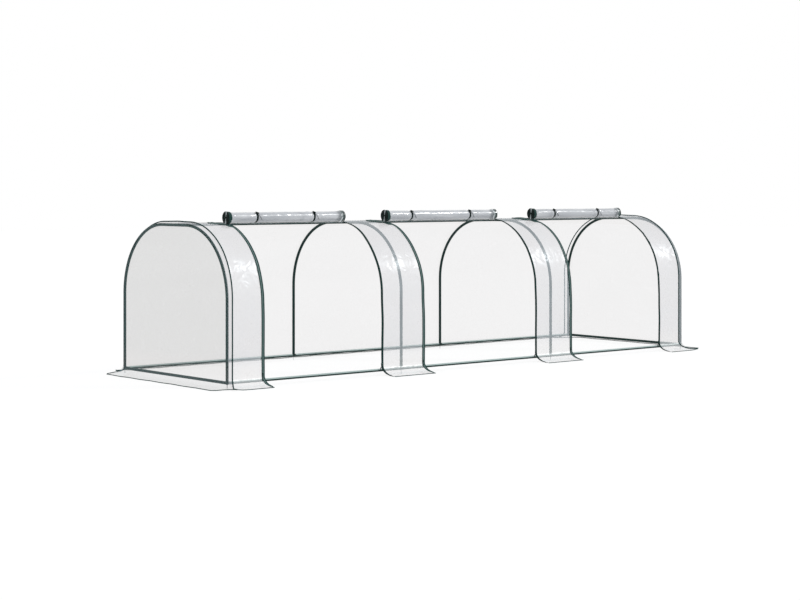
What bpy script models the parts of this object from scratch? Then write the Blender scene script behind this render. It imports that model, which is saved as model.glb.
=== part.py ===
"""Tunnel greenhouse: a low frame of four steel hoops under a clear film cover with three roll-up doors.

X runs along the tunnel, the doors face -Y and +Z is up. The origin is on the ground, under the
middle of the tunnel. All sizes are in metres.
"""

import math

import bmesh
import bpy
from mathutils import Matrix, Vector

# Frame of steel tube
FRAME_LENGTH = 3.484  # between the centrelines of the two end hoops
FRAME_WIDTH = 0.996  # between the centrelines of a hoop's two legs
FRAME_HEIGHT = 0.800  # from the base rails' centreline to the ridge tube's
RAIL_HEIGHT = 0.028  # from the ground to the base rails' centreline
PEG_DIAMETER = 0.004  # of the short peg that each of a hoop's feet stands on
BEND_RADIUS = 0.380  # of a hoop's centreline
BAYS = 3
TUBE_DIAMETER = 0.016
TUBE_WALL = 0.0008

# Joints that the tubes plug on to
HUB_REACH = 0.012  # from a joint's centre to the shoulder that a tube butts against
HUB_STEP = 0.0001  # how much thinner each run of a joint is than the one it meets
SPIGOT_LENGTH = 0.030
SPIGOT_CLEARANCE = 0.0004
TOUCH = 0.0003  # gap kept between two pieces that touch

# Film cover
FILM_THICKNESS = 0.0005
END_WRAP = 0.026  # how far an end panel laps back over its hoop, from the hoop's centreline
SKIRT_DROP = 0.052  # height at which a wall starts to turn out on to the ground
SKIRT_SWEEP = 0.090  # how far out from the wall it meets the ground
SKIRT_REACH = 0.115  # how far out from the wall the hem of a front or back skirt lies
END_SKIRT_REACH = 0.112
FRONT_CORNER_FLARE = 0.040  # how far past the wall an end skirt's hem runs at its front corner
BACK_CORNER_FLARE = 0.002
SEAM_FLARE = 0.048  # how far the seam at a corner strays outwards on its way to the hem
HEM = 0.004  # how far the zip tapes stop short of the skirt's hem

# Places along the tunnel that differ from door to door, from the hoop on the same side of the door
LEFT_EDGES = (0.2085, 0.1460, 0.1510)  # of the film at a doorway's left
RIGHT_EDGES = (0.1484, 0.1358, 0.2169)
LEFT_TIES = (0.4050, 0.3375, 0.3375)
RIGHT_TIES = (0.3715, 0.3715, 0.4390)
LEFT_ROLL_GAPS = (0.0045, 0.0006, 0.0006)  # from a roll's end to the film's edge
RIGHT_ROLL_GAPS = (0.0114, 0.0222, 0.0176)

# Zips
TAPE_THICKNESS = 0.0008
LEFT_TAPE_WIDTH = 0.0205  # all of it stands in the doorway
RIGHT_TAPE_WIDTH = 0.0145  # all of it lies on the film
SLIDER_LENGTH = 0.014
SLIDER_WIDTH = 0.010
SLIDER_DEPTH = 0.0044
SLIDER_BEVEL = 0.0012
SLIDER_PARKING = 0.001  # from a parked slider down to where the wall starts to turn out
LEFT_PULL_LENGTH = 0.024
RIGHT_PULL_LENGTH = 0.040
RIGHT_PULL_SWING = math.radians(26)  # the right pulls hang askew, over the doorway
PULL_WIDTH = 0.006
PULL_THICKNESS = 0.0012
PULL_SINK = 0.0003  # how deep the pull sits in the slider
PULL_RISE = 0.0035  # from the slider's centre up to the pull's upper end

# Rolled doors
ROLL_RADIUS = 0.031
ROLL_END_RADIUS = 0.0375  # where the door's own zip tapes are wound in
ROLL_TAPE = 0.021  # length of each such end
ROLL_TAPER = 0.014  # from there to the plain film
ROLL_CORE = 0.009
ROLL_TURNS = 5
ROLL_SEAT = 0.171  # from the ridge to the line that a roll lies on, along the film
FLAP_SAG = 0.0075  # how much the roll's weight draws down the flap that it lies on
SAG_FADE = 0.050  # from a roll's seat forwards, at least this far, the left tape is drawn down too
WAIST_DEPTH = 0.0060  # how deep a tie draws the roll in
WAIST_LENGTH = 0.018  # on either side of a tie
SWING_INSET = 0.30  # from the middle of a roll's travel back to the axis that it swings about
PARKING_REACH = 0.134  # from the wall out to a lowered roll's centre, past the hem
PARKING_CLEARANCE = 0.003  # from a lowered roll to the ground

# Ties
TIE_WIDTH = 0.010
TIE_THICKNESS = 0.0008
TIE_LAP = math.radians(12)
KNOT_SIZE = 0.008
KNOT_HEIGHT = 0.0048
KNOT_BEVEL = 0.0012
KNOT_ANGLE = math.radians(110)  # from +Y, upwards and over to the front
TAIL_ANGLE = math.radians(75)  # how far round the roll a tie's loose end hangs
TAIL_DRIFT = 0.018  # how far it strays sideways
TAIL_WIDTH = 0.004

# Facets
TUBE_SIDES = 10
JOINT_SIDES = 10
SPIGOT_SIDES = 6
PEG_SIDES = 6
BEND_STEPS = 10
SKIRT_STEPS = 5
TURN_STEPS = 10
TIE_STEPS = 16
TAIL_STEPS = 4

# Worked out from the sizes above
TUBE_RADIUS = TUBE_DIAMETER / 2
HALF_WIDTH = FRAME_WIDTH / 2
RIDGE_Z = RAIL_HEIGHT + FRAME_HEIGHT
BEND_Z = RIDGE_Z - BEND_RADIUS
FLAT_HALF = HALF_WIDTH - BEND_RADIUS
END_X = FRAME_LENGTH / 2
SEAM_X = END_X - END_WRAP
HOOPS = [-END_X + FRAME_LENGTH * i / BAYS for i in range(BAYS + 1)]
DOORS = [
    (hoop + left, next_hoop - right)
    for hoop, next_hoop, left, right in zip(HOOPS, HOOPS[1:], LEFT_EDGES, RIGHT_EDGES)
]
STRIP_STARTS = [-SEAM_X + TOUCH] + [right for _, right in DOORS]
STRIP_ENDS = [left for left, _ in DOORS] + [SEAM_X - TOUCH]
STRIPS = list(zip(STRIP_STARTS, STRIP_ENDS))
STRIP_CUT_MARGIN = 0.05  # how far the roof's cut for an end strip runs past the roof's end
SIDES = {"front": -1, "back": 1}
ALONG, ACROSS, UP = Vector((1, 0, 0)), Vector((0, 1, 0)), Vector((0, 0, 1))

MATERIALS = {
    "green_steel": ((0.022, 0.045, 0.040, 1.0), 0.35, 0.3),
    "green_joint": ((0.018, 0.036, 0.032, 1.0), 0.45, 0.0),
    "clear_film": ((0.86, 0.88, 0.88, 0.25), 0.15, 0.0),
    "rolled_film": ((0.62, 0.63, 0.66, 0.75), 0.2, 0.0),
    "zip_tape": ((0.060, 0.105, 0.095, 1.0), 0.8, 0.0),
    "tie_tape": ((0.012, 0.022, 0.020, 1.0), 0.85, 0.0),
    "zip_slider": ((0.030, 0.032, 0.034, 1.0), 0.3, 1.0),
}


def clear_scene():
    for item in list(bpy.data.objects):
        bpy.data.objects.remove(item)


def new_collection(name):
    collection = bpy.data.collections.new(name)
    bpy.context.scene.collection.children.link(collection)
    return collection


def new_material(name, colour, roughness, metallic):
    material = bpy.data.materials.new(name)
    material.use_nodes = True
    shader = material.node_tree.nodes["Principled BSDF"]
    shader.inputs["Base Color"].default_value = colour
    shader.inputs["Alpha"].default_value = colour[3]
    shader.inputs["Roughness"].default_value = roughness
    shader.inputs["Metallic"].default_value = metallic
    material.diffuse_color = colour
    return material


def place(item, location=(0, 0, 0), material=None, parent=None):
    """Puts an object in the greenhouse's collection, with its material and its parent."""
    GREENHOUSE.objects.link(item)
    item.location = location
    if material:
        item.data.materials.append(SURFACES[material])
    if parent:
        item.parent = parent
    return item


def place_cutter(item, location=(0, 0, 0)):
    CUTTERS.objects.link(item)
    item.location = location
    item.hide_render = True
    item.display_type = "WIRE"
    return item


def mesh_object(name, shape, smooth=False):
    """Makes an object from a bmesh, and frees the bmesh."""
    mesh = bpy.data.meshes.new(name)
    shape.to_mesh(mesh)
    shape.free()
    if smooth:
        mesh.shade_smooth()
        mesh.set_sharp_from_angle(angle=math.radians(35))
    return bpy.data.objects.new(name, mesh)


def thicken(item, thickness, outwards=True):
    solidify = item.modifiers.new("thickness", "SOLIDIFY")
    solidify.thickness = thickness
    solidify.offset = 1 if outwards else -1
    solidify.use_even_offset = True


def boolean(item, other, operation):
    modifier = item.modifiers.new(other.name, "BOOLEAN")
    modifier.operation = operation
    modifier.object = other


def arc(centre, radius, start, end, steps):
    """Points (y, z) round a centre, with the angles measured from +Y towards +Z."""
    angles = [start + (end - start) * i / steps for i in range(steps + 1)]
    return [Vector((centre[0] + radius * math.cos(a), centre[1] + radius * math.sin(a))) for a in angles]


def arch_path(side, lift=0.0):
    """Inner face of the film over one side of the hoops, from ridge to foot, as (y, z)."""
    offset = TUBE_RADIUS + TOUCH + lift
    ridge = Vector((0, RIDGE_Z + offset))
    bend = arc((FLAT_HALF, BEND_Z), BEND_RADIUS + offset, math.pi / 2, 0, BEND_STEPS)
    foot = Vector((HALF_WIDTH + offset, SKIRT_DROP))
    return [Vector((side * p.x, p.y)) for p in [ridge, *bend, foot]]


def skirt_offsets(reach, lift=0.0):
    """The skirt below the foot of a wall: how far out and how high each point lies."""
    points = []
    for i in range(1, SKIRT_STEPS + 1):
        out, down = math.cos(math.pi / 2 * i / SKIRT_STEPS), math.sin(math.pi / 2 * i / SKIRT_STEPS)
        away = Vector((SKIRT_DROP * out, SKIRT_SWEEP * down)).normalized()
        points.append(Vector((SKIRT_SWEEP * (1 - out), SKIRT_DROP * (1 - down))) + away * lift)
    return [*points, Vector((reach, lift))]


def wall_path(side, reach=SKIRT_REACH, lift=0.0):
    """Inner face of the film from the ridge to the hem, as (y, z)."""
    wall = HALF_WIDTH + TUBE_RADIUS + TOUCH
    return arch_path(side, lift) + [Vector((side * (wall + p.x), p.y)) for p in skirt_offsets(reach, lift)]


def cut_path(path, distance):
    """The path up to a distance along it, and the direction that it has there."""
    kept = [path[0]]
    for start, end in zip(path, path[1:]):
        step = end - start
        if step.length >= distance:
            return kept + [start + step.normalized() * distance], step.normalized()
        distance -= step.length
        kept.append(end)
    return kept, step.normalized()


def surface(rows, closed=False):
    """An open surface through rows of points, facing up or away from the tunnel."""
    shape = bmesh.new()
    made = [[shape.verts.new(point) for point in row] for row in rows]
    for row, other in zip(made, made[1:]):
        count = len(row) if closed else len(row) - 1
        for i in range(count):
            j = (i + 1) % len(row)
            shape.faces.new((row[i], row[j], other[j], other[i]))
    return shape


def facing(shape, wanted):
    """Turns every face over if the first one doesn't face the wanted way."""
    shape.normal_update()
    shape.faces.ensure_lookup_table()
    if shape.faces[0].normal.dot(wanted) < 0:
        bmesh.ops.reverse_faces(shape, faces=shape.faces)
    return shape


def film_ribbon(name, path, x_from, x_to, thickness, flares=(0.0, 0.0)):
    """A sheet with the same section all along the tunnel. Its skirts may flare out at its two ends."""
    wall = HALF_WIDTH + TUBE_RADIUS + TOUCH
    rows = []
    for x, flare in zip((x_from, x_to), flares):
        rows.append([(x + flare * max(0.0, abs(p.x) - wall) / SKIRT_REACH, p.x, p.y) for p in path])
    item = mesh_object(name, facing(surface(rows), Vector((0, 0, 1))))
    thicken(item, thickness)
    return item


def block(size):
    """A box of a given size round the origin."""
    shape = bmesh.new()
    bmesh.ops.create_cube(shape, size=1.0, matrix=Matrix.Diagonal((*size, 1)))
    return shape


def steel_tube(name, points, location=(0, 0, 0)):
    """A hollow tube along a run of points."""
    curve = bpy.data.curves.new(name, "CURVE")
    curve.dimensions = "3D"
    curve.bevel_depth = TUBE_RADIUS
    curve.bevel_resolution = TUBE_SIDES // 2 - 2
    spline = curve.splines.new("POLY")
    spline.points.add(len(points) - 1)
    for slot, point in zip(spline.points, points):
        slot.co = (*point, 1)
    tube = place(bpy.data.objects.new(name, curve), location, "green_steel")
    thicken(tube, TUBE_WALL, outwards=False)
    return tube


def hoop_half(name, x, side):
    """Half a hoop: a leg, the bend and half of the flat top."""
    bend = arc((FLAT_HALF, BEND_Z), BEND_RADIUS, 0, math.pi / 2, BEND_STEPS)
    foot = Vector((HALF_WIDTH, RAIL_HEIGHT + HUB_REACH + TOUCH))
    top = Vector((HUB_REACH + TOUCH, RIDGE_Z))
    points = [(0, side * p.x, p.y) for p in [foot, *bend, top]]
    return steel_tube(name, points, (x, 0, 0))


def straight_tube(name, start, end):
    """A tube between two joint centres, butting against both shoulders."""
    along = (end - start).normalized() * (HUB_REACH + TOUCH)
    return steel_tube(name, [start + along, end - along])


def cylinder_along(direction, radius, start, end, sides):
    """A cylinder on a line through the origin, between two distances from it."""
    shape = bmesh.new()
    turn = Vector((0, 0, 1)).rotation_difference(direction).to_matrix().to_4x4()
    middle = Matrix.Translation(direction * (start + end) / 2)
    bmesh.ops.create_cone(
        shape,
        cap_ends=True,
        segments=sides,
        radius1=radius,
        radius2=radius,
        depth=end - start,
        matrix=middle @ turn,
    )
    return shape


def tube_joint(name, centre, axes, arms):
    """A moulded joint: a short run along each axis that it serves, and a spigot for each tube."""
    runs = []
    for axis in axes:
        back = HUB_REACH if -axis in arms else 0.0
        ahead = HUB_REACH if axis in arms else 0.0
        if axis == UP:
            back = TUBE_RADIUS
        radius = TUBE_RADIUS - HUB_STEP * len(runs)
        runs.append(cylinder_along(axis, radius, -back, ahead, JOINT_SIDES))
    if UP in axes:
        runs.append(cylinder_along(UP, PEG_DIAMETER / 2, -RAIL_HEIGHT, -TUBE_RADIUS / 2, PEG_SIDES))
    spigot_radius = TUBE_RADIUS - TUBE_WALL - SPIGOT_CLEARANCE
    for arm in arms:
        spigot_end = HUB_REACH + SPIGOT_LENGTH
        runs.append(cylinder_along(arm, spigot_radius, HUB_REACH / 2, spigot_end, SPIGOT_SIDES))
    joint = place(mesh_object(name, runs[0], smooth=True), centre, "green_joint")
    for i, run in enumerate(runs[1:]):
        boolean(joint, place_cutter(mesh_object(f"{name}_run_{i}", run), centre), "UNION")
    return joint


def make_frame():
    """Hoops, rails, ridge tubes and the joints that hold them."""
    for i, x in enumerate(HOOPS):
        first, last = i == 0, i == BAYS
        rails = ([] if first else [-ALONG]) + ([] if last else [ALONG])
        for where, side in SIDES.items():
            hoop_half(f"hoop_{i + 1}_{where}_tube", x, side)
            centre = (x, side * HALF_WIDTH, RAIL_HEIGHT)
            if first or last:
                arms = [UP, *rails, -ACROSS * side]
                tube_joint(f"corner_joint_{i + 1}_{where}", centre, (UP, ALONG, ACROSS), arms)
            else:
                tube_joint(f"base_tee_{i + 1}_{where}", centre, (UP, ALONG), [UP, *rails])
        kind = "ridge_tee" if first or last else "ridge_cross"
        tube_joint(f"{kind}_{i + 1}", (x, 0, RIDGE_Z), (ACROSS, ALONG), [ACROSS, -ACROSS, *rails])
    for i, (x, next_x) in enumerate(zip(HOOPS, HOOPS[1:])):
        straight_tube(f"ridge_tube_{i + 1}", Vector((x, 0, RIDGE_Z)), Vector((next_x, 0, RIDGE_Z)))
        for where, side in SIDES.items():
            start = Vector((x, side * HALF_WIDTH, RAIL_HEIGHT))
            straight_tube(f"side_rail_{i + 1}_{where}", start, start + ALONG * (next_x - x))
    for where, x in (("left", -END_X), ("right", END_X)):
        start, end = (Vector((x, side * HALF_WIDTH, RAIL_HEIGHT)) for side in SIDES.values())
        straight_tube(f"end_rail_{where}", start, end)


def sagging_flap(lift=0.0):
    """The flap from the ridge to the line that a roll lies on, as (y, z), and its direction there."""
    flap, forward = cut_path(wall_path(-1, lift=lift), ROLL_SEAT)
    for point in flap:
        point.y -= FLAP_SAG * point.x / flap[-1].x
    return flap, forward


def make_roof():
    """The back sheet from its hem to the ridge, with the short flaps that the rolled doors hang from."""
    path = sagging_flap()[0][::-1] + wall_path(1)[1:]
    ends = (-SEAM_X + TOUCH, SEAM_X - TOUCH)
    flares = (-SEAM_FLARE, SEAM_FLARE)
    sheet = film_ribbon("roof_and_back_sheet", path, *ends, FILM_THICKNESS, flares)
    place(sheet, material="clear_film")
    for i, (left, right) in enumerate(STRIPS):
        low = left - (STRIP_CUT_MARGIN if i == 0 else TOUCH)
        high = right + (STRIP_CUT_MARGIN if i == BAYS else TOUCH)
        cutter = mesh_object(f"strip_room_{i + 1}", block((high - low, HALF_WIDTH, FRAME_HEIGHT)))
        place_cutter(cutter, ((low + high) / 2, -HALF_WIDTH / 2, RIDGE_Z))
        boolean(sheet, cutter, "DIFFERENCE")


def make_strips():
    """The film that stays up in front of each hoop."""
    for i, (left, right) in enumerate(STRIPS):
        path = wall_path(-1)
        path[0].x = -TOUCH
        flares = (-SEAM_FLARE if i == 0 else 0.0, SEAM_FLARE if i == BAYS else 0.0)
        strip = film_ribbon(f"front_strip_{i + 1}", path, left, right, FILM_THICKNESS, flares)
        place(strip, material="clear_film")


def make_end_panel(name, side):
    """A flat end with a rim that laps back over the hoop, and a skirt that runs on round both corners."""
    face_x = side * (END_X + TUBE_RADIUS + TOUCH)
    outline = arch_path(-1)[::-1] + arch_path(1)[1:]
    shape = bmesh.new()
    face = [shape.verts.new((face_x, p.x, p.y)) for p in outline]
    seam = [shape.verts.new((side * SEAM_X, p.x, p.y)) for p in outline]
    shape.faces.new(face)
    for i in range(len(outline) - 1):
        shape.faces.new((face[i], face[i + 1], seam[i + 1], seam[i]))
    foot = [seam[0], face[0], face[-1], seam[-1]]
    wall = face[-1].co.y
    seam_hem_x = side * (SEAM_X + SEAM_FLARE)
    face_hem_x = face_x + side * END_SKIRT_REACH
    hem = [
        Vector((seam_hem_x, -wall - SKIRT_REACH)),
        Vector((face_hem_x, -wall - FRONT_CORNER_FLARE)),
        Vector((face_hem_x, wall + BACK_CORNER_FLARE)),
        Vector((seam_hem_x, wall + SKIRT_REACH)),
    ]
    above = foot
    for point in skirt_offsets(SKIRT_REACH):
        share = point.x / SKIRT_REACH
        below = []
        for start, end in zip(foot, hem):
            spot = start.co.xy.lerp(end, share)
            below.append(shape.verts.new((*spot, point.y)))
        for i in range(len(foot) - 1):
            shape.faces.new((above[i], above[i + 1], below[i + 1], below[i]))
        above = below
    bmesh.ops.recalc_face_normals(shape, faces=shape.faces)
    panel = place(mesh_object(name, facing(shape, Vector((side, 0, 0)))), material="clear_film")
    thicken(panel, FILM_THICKNESS)


def tape_path(sagging):
    """Inner face of a zip tape. One that lies on a flap is drawn down with it."""
    lift = FILM_THICKNESS + TOUCH
    path = wall_path(-1, SKIRT_REACH - HEM, lift)
    if sagging:
        flap = sagging_flap(lift)[0]
        path = flap + [point for point in path if point.x < flap[-1].x - SAG_FADE]
    path[0].x = -TOUCH
    return path


def make_zip(door, where, tape_from, width, slider_x, pull_length, pull_swing):
    """The zip tape along one edge of a doorway, and its slider, parked at the bottom of it."""
    path = tape_path(sagging=where == "left")
    tape = film_ribbon(f"zip_tape_{door}_{where}", path, tape_from, tape_from + width, TAPE_THICKNESS)
    place(tape, material="zip_tape")
    tape_face = HALF_WIDTH + TUBE_RADIUS + TOUCH + FILM_THICKNESS + TOUCH + TAPE_THICKNESS
    name = f"zip_slider_{door}_{where}"
    body = block((SLIDER_WIDTH, SLIDER_DEPTH, SLIDER_LENGTH))
    bmesh.ops.bevel(body, geom=body.edges[:], offset=SLIDER_BEVEL, segments=1, affect="EDGES")
    slider_z = SKIRT_DROP + SLIDER_PARKING + SLIDER_LENGTH / 2
    location = Vector((slider_x, -tape_face - TOUCH - SLIDER_DEPTH / 2, slider_z))
    slider = place(mesh_object(name, body), location, "zip_slider")
    pull = block((PULL_WIDTH, PULL_THICKNESS, pull_length))
    hang = Vector((0, PULL_SINK - (SLIDER_DEPTH + PULL_THICKNESS) / 2, PULL_RISE - pull_length / 2))
    bmesh.ops.translate(pull, vec=hang, verts=pull.verts)
    bmesh.ops.rotate(pull, matrix=Matrix.Rotation(pull_swing, 3, "Y"), verts=pull.verts)
    boolean(slider, place_cutter(mesh_object(f"{name}_pull", pull), location), "UNION")


def roll_radius(turned, from_tie, from_end=math.inf):
    """Radius of the outer face, some angle round from the seat, away from a tie and from the roll's end."""
    spiral = ROLL_RADIUS - (ROLL_RADIUS - ROLL_CORE) * turned / (2 * math.pi * ROLL_TURNS)
    drawn_in = WAIST_DEPTH * max(0.0, 1 - abs(from_tie) / WAIST_LENGTH)
    tape_share = max(0.0, min(1.0, 1 - (from_end - ROLL_TAPE) / ROLL_TAPER))
    swollen = (ROLL_END_RADIUS - ROLL_RADIUS) * tape_share
    return spiral * (1 + (swollen - drawn_in) / ROLL_RADIUS)


def round_roll(turned, radius, seat_angle):
    """The point (y, z) at a radius, some angle round from the seat, going forwards and up."""
    angle = seat_angle - turned
    return radius * math.cos(angle), radius * math.sin(angle)


def make_roll(name, half_length, ties, seat_angle):
    """A door rolled up: one spiral sheet, drawn in where its two ties hold it and thicker at its ends."""
    film_half = half_length - ROLL_TAPE - ROLL_TAPER
    stations = [-half_length, -half_length + ROLL_TAPE, -film_half]
    for tie in ties:
        stations += [tie - WAIST_LENGTH, tie, tie + WAIST_LENGTH]
    stations += [film_half, half_length - ROLL_TAPE, half_length]
    steps = [2 * math.pi * i / TURN_STEPS for i in range(ROLL_TURNS * TURN_STEPS + 1)]
    rows = []
    for x in stations:
        from_tie = min(abs(x - tie) for tie in ties)
        from_end = half_length - abs(x)
        radii = [roll_radius(turned, from_tie, from_end) for turned in steps]
        rows.append([(x, *round_roll(turned, radius, seat_angle)) for turned, radius in zip(steps, radii)])
    shape = surface(rows)
    outwards = Vector((0, math.cos(seat_angle), math.sin(seat_angle)))
    roll = mesh_object(name, facing(shape, outwards), smooth=True)
    thicken(roll, FILM_THICKNESS, outwards=False)
    return roll


def least_roll_gap():
    """Smallest gap between one turn of a roll and the next, at a tie, measured on the spiral's points."""
    steps = [2 * math.pi * i / TURN_STEPS for i in range(ROLL_TURNS * TURN_STEPS + 1)]
    points = [Vector(round_roll(turned, roll_radius(turned, 0.0), 0.0)) for turned in steps]
    facets = list(zip(points, points[1:]))
    least = ROLL_RADIUS
    for i, point in enumerate(points):
        for start, end in facets[i + TURN_STEPS // 2 :]:
            along = max(0.0, min(1.0, (point - start).dot(end - start) / (end - start).length_squared))
            least = min(least, (start + (end - start) * along - point).length)
    return least - FILM_THICKNESS


def make_tie(name, seat_angle):
    """A tape round the roll's waist, with a knot on top and a loose end that lies on the roll."""
    facet = 2 * math.pi / TIE_STEPS
    slack = 1 / math.cos(facet / 2)
    edge = TIE_WIDTH / 2
    turns = [-TIE_LAP] + [facet * i for i in range(TIE_STEPS)]
    ring = [round_roll(a, roll_radius(max(a, 0.0), edge) * slack + TOUCH, seat_angle) for a in turns]
    rows = [[(x, *point) for point in ring] for x in (-edge, edge)]
    outwards = Vector((0, math.cos(seat_angle), math.sin(seat_angle)))
    tie = mesh_object(name, facing(surface(rows, closed=True), outwards))
    thicken(tie, TIE_THICKNESS)

    knot_turn = (seat_angle - KNOT_ANGLE) % (2 * math.pi)
    knot = block((TIE_WIDTH, KNOT_SIZE, KNOT_HEIGHT))
    bmesh.ops.bevel(knot, geom=knot.edges[:], offset=KNOT_BEVEL, segments=1, affect="EDGES")
    knot_radius = roll_radius(knot_turn, edge) * slack + TOUCH + KNOT_HEIGHT / 2
    bmesh.ops.rotate(knot, matrix=Matrix.Rotation(KNOT_ANGLE - math.pi / 2, 3, "X"), verts=knot.verts)
    bmesh.ops.translate(knot, vec=(0, *round_roll(knot_turn, knot_radius, seat_angle)), verts=knot.verts)

    tail_rows = []
    for side in (-1, 1):
        row = []
        for i in range(TAIL_STEPS + 1):
            share = i / TAIL_STEPS
            turn = knot_turn - TAIL_ANGLE * share
            drift = TAIL_DRIFT * share
            radius = roll_radius(turn, drift + TAIL_WIDTH) * slack + TOUCH
            row.append((drift + side * TAIL_WIDTH / 2, *round_roll(turn, radius, seat_angle)))
        tail_rows.append(row)
    over_the_top = Vector((0, math.cos(KNOT_ANGLE), math.sin(KNOT_ANGLE)))
    tail = mesh_object(f"{name}_tail", facing(surface(tail_rows), over_the_top))
    thicken(tail, TIE_THICKNESS)
    return tie, [mesh_object(f"{name}_knot", knot), tail]


def roll_travel():
    """Centre of a roll at rest, the direction to its seat, and the axis that it swings down about."""
    flap, forward = sagging_flap()
    away = Vector((forward.y, -forward.x))
    rest = flap[-1] + away * (FILM_THICKNESS + TOUCH + TAPE_THICKNESS + TOUCH + ROLL_END_RADIUS)
    lowered = Vector((-HALF_WIDTH - TUBE_RADIUS - PARKING_REACH, ROLL_END_RADIUS + PARKING_CLEARANCE))
    chord = lowered - rest
    inwards = Vector((-chord.y, chord.x)).normalized()
    axis = (rest + lowered) / 2 + inwards * SWING_INSET
    travel = 2 * math.atan2(chord.length / 2, SWING_INSET)
    return rest, math.atan2(-away.y, -away.x), axis, travel


def make_door(door, left, right):
    """A rolled door with its two ties, all on the axis that the roll swings down about."""
    rest, seat_angle, axis, _ = roll_travel()
    low = left + LEFT_ROLL_GAPS[door - 1]
    high = right - RIGHT_ROLL_GAPS[door - 1]
    middle, half_length = (low + high) / 2, (high - low) / 2
    swing = place(bpy.data.objects.new(f"door_{door}_swing", None), (middle, axis.x, axis.y))
    offset = Vector((0, rest.x - axis.x, rest.y - axis.y))
    left_tie = HOOPS[door - 1] + LEFT_TIES[door - 1]
    right_tie = HOOPS[door] - RIGHT_TIES[door - 1]
    ties = {"left": left_tie - middle, "right": right_tie - middle}
    roll = make_roll(f"door_roll_{door}", half_length, ties.values(), seat_angle)
    place(roll, offset, "rolled_film", swing)
    for where, tie_x in ties.items():
        name = f"roll_tie_{door}_{where}"
        tie, extras = make_tie(name, seat_angle)
        at_tie = offset + Vector((tie_x, 0, 0))
        place(tie, at_tie, "tie_tape", swing)
        for extra in extras:
            place_cutter(extra, swing.location + at_tie)
            boolean(tie, extra, "UNION")
    left_middle = left + TOUCH + LEFT_TAPE_WIDTH / 2
    make_zip(door, "left", left + TOUCH, LEFT_TAPE_WIDTH, left_middle, LEFT_PULL_LENGTH, 0.0)
    make_zip(door, "right", right, RIGHT_TAPE_WIDTH, right, RIGHT_PULL_LENGTH, RIGHT_PULL_SWING)


clear_scene()
GREENHOUSE = new_collection("tunnel_greenhouse")
CUTTERS = new_collection("cutters")
SURFACES = {name: new_material(name, *values) for name, values in MATERIALS.items()}

make_frame()
make_roof()
make_strips()
make_end_panel("end_panel_left", -1)
make_end_panel("end_panel_right", 1)
for number, (door_left, door_right) in enumerate(DOORS, start=1):
    make_door(number, door_left, door_right)

print(f"least gap between two turns of a roll: {least_roll_gap() * 1000:.2f} mm")
roll_rest, _, roll_axis, roll_range = roll_travel()
print(f"roll at rest: y {roll_rest.x:.5f}, z {roll_rest.y:.5f}")
print(f"roll axis: y {roll_axis.x:.5f}, z {roll_axis.y:.5f}, travel {math.degrees(roll_range):.2f} degrees")
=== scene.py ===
"""The looks of the tunnel greenhouse: clear film, zips and rolled doors round its frame of green steel tube.

X runs along the tunnel, the doors face -Y and +Z is up. All sizes are in metres. A place on the film is
given by x and by s, the distance along the film from the ridge, which is negative on the front.
"""

import math
import random

import bmesh
import bpy
import numpy as np
from mathutils import Matrix, Vector


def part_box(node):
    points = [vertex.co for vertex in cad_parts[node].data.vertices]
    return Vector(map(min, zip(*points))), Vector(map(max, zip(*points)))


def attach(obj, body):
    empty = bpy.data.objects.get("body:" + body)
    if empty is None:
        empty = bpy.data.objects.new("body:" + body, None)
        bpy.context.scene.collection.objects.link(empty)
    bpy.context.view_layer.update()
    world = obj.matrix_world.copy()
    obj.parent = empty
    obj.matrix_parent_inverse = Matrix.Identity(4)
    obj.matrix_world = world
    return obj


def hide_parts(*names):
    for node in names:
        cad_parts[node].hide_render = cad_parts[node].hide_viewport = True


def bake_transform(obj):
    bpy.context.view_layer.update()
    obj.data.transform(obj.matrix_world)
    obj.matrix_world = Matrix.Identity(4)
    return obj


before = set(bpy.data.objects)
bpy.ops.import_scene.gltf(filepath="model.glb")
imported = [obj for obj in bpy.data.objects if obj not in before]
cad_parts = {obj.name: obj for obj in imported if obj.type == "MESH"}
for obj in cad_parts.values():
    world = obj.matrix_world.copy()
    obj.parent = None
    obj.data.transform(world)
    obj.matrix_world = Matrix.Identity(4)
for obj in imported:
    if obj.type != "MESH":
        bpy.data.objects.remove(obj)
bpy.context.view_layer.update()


def middle(node):
    low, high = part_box(node)
    return (low + high) / 2


# Sizes that the frame gives
HOOPS = [middle(f"hoop_{i}_front_tube").x for i in (1, 2, 3, 4)]
RIDGE_Z = middle("ridge_tube_1").z
RAIL_Z = middle("side_rail_1_front").z
HALF_WIDTH = -middle("side_rail_1_front").y
END_WRAP = 0.026  # from an end hoop to its seam
SEAM_X = HOOPS[-1] - END_WRAP
STRIP_BOXES = [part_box(f"front_strip_{i}") for i in (1, 2, 3, 4)]
STRIPS = [(max(low.x, -SEAM_X), min(high.x, SEAM_X)) for low, high in STRIP_BOXES]
DOORS = [(left[1], right[0]) for left, right in zip(STRIPS, STRIPS[1:])]
HEM_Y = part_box("front_strip_1")[0].y
END_HEM_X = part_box("end_panel_right")[1].x
WIDE_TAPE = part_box("zip_tape_1_left")[1].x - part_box("zip_tape_1_left")[0].x

# Frame
TUBE_RADIUS = 0.008
TUBE_WALL = 0.0008
TUBE_SIDES = 20
BEND_RADIUS = 0.380
BEND_STEPS = 36
HUB_REACH = 0.012  # from the middle of a joint to its shoulders
PEG_RADIUS = 0.002
TOUCH = 0.0003  # the gap between pieces that meet
BEND_Z = RIDGE_Z - BEND_RADIUS
FLAT_HALF = HALF_WIDTH - BEND_RADIUS

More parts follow.
